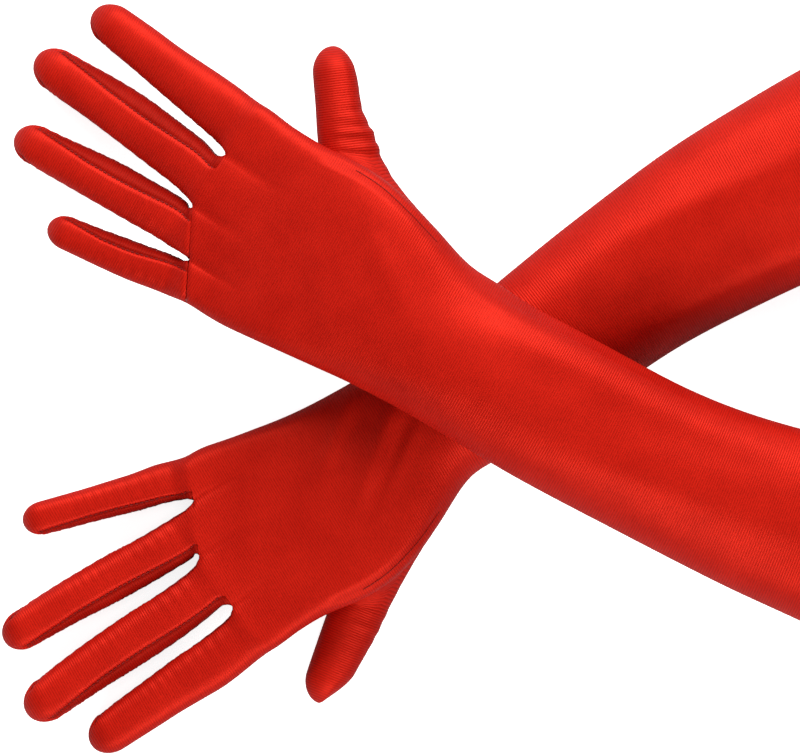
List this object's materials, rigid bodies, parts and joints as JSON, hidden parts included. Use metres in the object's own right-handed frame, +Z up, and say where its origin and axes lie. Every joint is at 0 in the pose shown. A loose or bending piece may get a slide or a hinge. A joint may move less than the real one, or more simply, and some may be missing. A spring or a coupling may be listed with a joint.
{
  "type": "opera gloves",
  "caption": "Pair of long stretch-satin evening gloves with pieced finger stalls, set-in thumbs and faced hems, the left one lying across the right one at the wrists.",
  "frame": {"origin": "middle of the pair's underside, on the surface that they lie on", "axes": "+Z up from the backs of the hands, sleeves towards +X, fingers towards -X, the left glove's hand at +Y"},
  "size_m": [0.5386, 0.3964, 0.091],
  "materials": {
    "satin": "red stretch satin, soft sheen",
    "facing": "matte wrong side of the satin",
    "elastic": "ribbed elastic tape"
  },
  "bodies": {
    "right_glove": {"right_trank": "satin", "right_thumb_base": "satin", "right_hem_elastic": "elastic", "right_hem_facing": "facing"},
    "right_index": {"right_index_fourchette": "satin", "right_index_stall": "satin"},
    "right_middle": {"right_middle_back": "satin", "right_middle_fourchette_a": "satin", "right_middle_fourchette_b": "satin", "right_middle_front": "satin"},
    "right_ring": {"right_ring_back": "satin", "right_ring_fourchette_a": "satin", "right_ring_fourchette_b": "satin", "right_ring_front": "satin"},
    "right_little": {"right_little_back": "satin", "right_little_fourchette": "satin", "right_little_front": "satin"},
    "right_thumb": {"right_thumb_stall": "satin"},
    "left_glove": {"left_trank": "satin", "left_thumb_base": "satin", "left_hem_elastic": "elastic", "left_hem_facing": "facing"},
    "left_index": {"left_index_fourchette": "satin", "left_index_stall": "satin"},
    "left_middle": {"left_middle_back": "satin", "left_middle_fourchette_a": "satin", "left_middle_fourchette_b": "satin", "left_middle_front": "satin"},
    "left_ring": {"left_ring_back": "satin", "left_ring_fourchette_a": "satin", "left_ring_fourchette_b": "satin", "left_ring_front": "satin"},
    "left_little": {"left_little_back": "satin", "left_little_fourchette": "satin", "left_little_front": "satin"},
    "left_thumb": {"left_thumb_stall": "satin"}
  },
  "joints": [
    {"name": "left_glove_lift", "type": "slide", "parent": "right_glove", "child": "left_glove", "axis": [0, 0, 1], "range_m": [0, 0.12]},
    {"name": "right_index_bend", "type": "hinge", "parent": "right_glove", "child": "right_index", "pos_m": [-0.17204, -0.11436, 0.02635], "axis": [-0.5736, 0.8191, 0], "range_deg": [0, 36]},
    {"name": "right_middle_bend", "type": "hinge", "parent": "right_glove", "child": "right_middle", "pos_m": [-0.18628, -0.09551, 0.02336], "axis": [-0.5592, 0.829, 0], "range_deg": [0, 36]},
    {"name": "right_ring_bend", "type": "hinge", "parent": "right_glove", "child": "right_ring", "pos_m": [-0.19372, -0.07536, 0.02101], "axis": [-0.4924, 0.8704, 0], "range_deg": [0, 36]},
    {"name": "right_little_bend", "type": "hinge", "parent": "right_glove", "child": "right_little", "pos_m": [-0.1956, -0.05671, 0.019], "axis": [-0.2588, 0.9659, 0], "range_deg": [0, 36]},
    {"name": "right_thumb_swing", "type": "hinge", "parent": "right_glove", "child": "right_thumb", "pos_m": [-0.12335, -0.10905, 0.0095], "axis": [0, 0, 1], "range_deg": [0, 20]},
    {"name": "left_index_bend", "type": "hinge", "parent": "left_glove", "child": "left_index", "pos_m": [-0.17496, 0.07714, 0.04606], "axis": [0.6293, 0.7771, 0], "range_deg": [0, 36]},
    {"name": "left_middle_bend", "type": "hinge", "parent": "left_glove", "child": "left_middle", "pos_m": [-0.18888, 0.05804, 0.04245], "axis": [0.5878, 0.809, 0], "range_deg": [0, 36]},
    {"name": "left_ring_bend", "type": "hinge", "parent": "left_glove", "child": "left_ring", "pos_m": [-0.19596, 0.03777, 0.04109], "axis": [0.4924, 0.8704, 0], "range_deg": [0, 36]},
    {"name": "left_little_bend", "type": "hinge", "parent": "left_glove", "child": "left_little", "pos_m": [-0.19751, 0.01909, 0.04102], "axis": [0.3746, 0.9272, 0], "range_deg": [0, 36]},
    {"name": "left_thumb_swing", "type": "hinge", "parent": "left_glove", "child": "left_thumb", "pos_m": [-0.12553, 0.07021, 0.04036], "axis": [0, 0, -1], "range_deg": [0, 20]}
  ]
}
